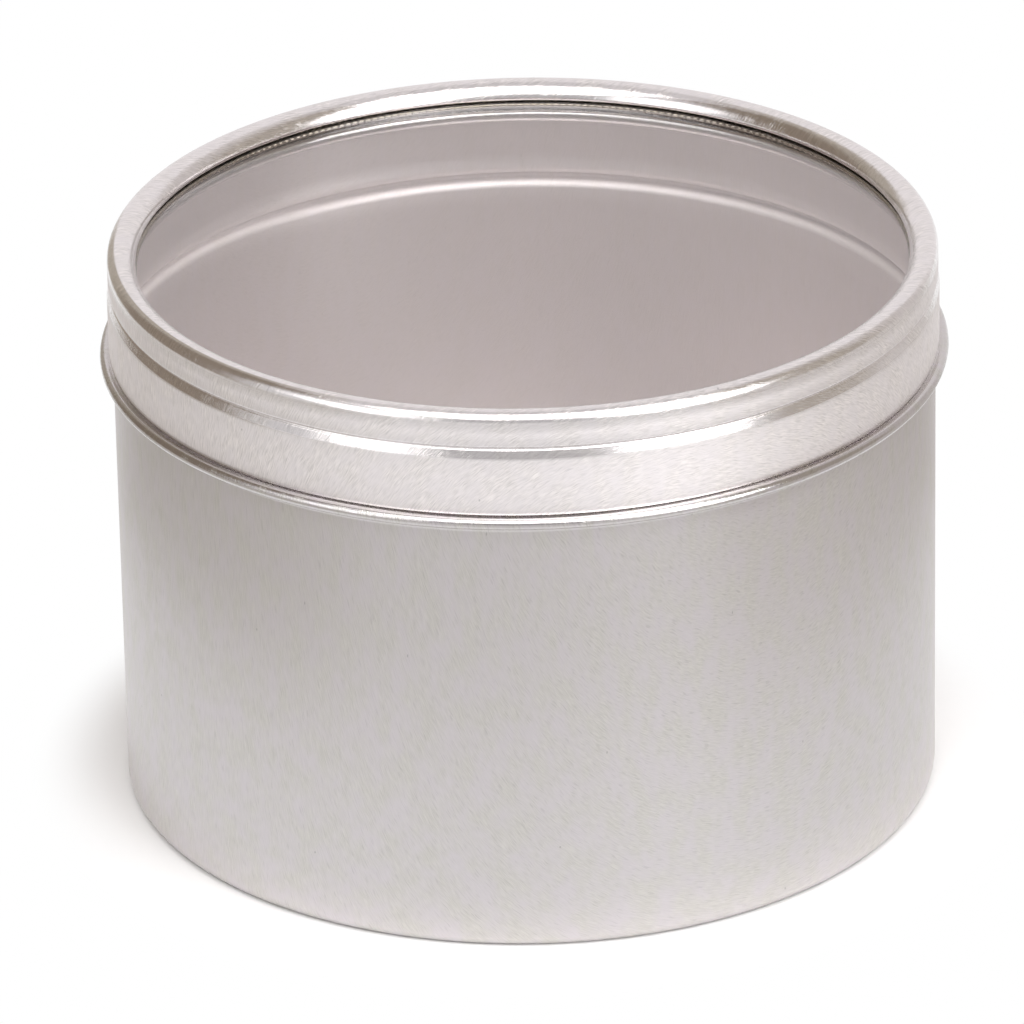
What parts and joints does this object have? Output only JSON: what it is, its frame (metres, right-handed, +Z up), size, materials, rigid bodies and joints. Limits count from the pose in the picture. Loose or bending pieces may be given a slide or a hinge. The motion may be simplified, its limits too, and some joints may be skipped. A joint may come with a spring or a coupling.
{
  "type": "window lid tin",
  "caption": "Round slip-lid tin in satin tinplate: a shallow drawn can with an outward bead under its mouth, and a deep lid ring with a crease, a rounded rim and a clear window.",
  "frame": {"origin": "centre of the can's foot, on the plane it stands on", "axes": "+Z up along the tin's axis; the tin is the same all round, so +X and +Y have no front"},
  "size_m": [0.0794, 0.0794, 0.0543],
  "materials": {
    "can_tinplate": "satin brushed tinplate",
    "lid_tinplate": "satin brushed tinplate, brighter on the drawn bends",
    "clear_sheet": "clear smooth PET sheet",
    "ring_tinplate": "plain tinplate in shade"
  },
  "bodies": {
    "can": {"can_body": "can_tinplate"},
    "lid": {"lid_ring": "lid_tinplate", "window": "clear_sheet", "window_retaining_ring": "ring_tinplate"}
  },
  "joints": [
    {"name": "lid_lift", "type": "slide", "parent": "can", "child": "lid", "axis": [0, 0, 1], "range_m": [0, 0.03]}
  ]
}
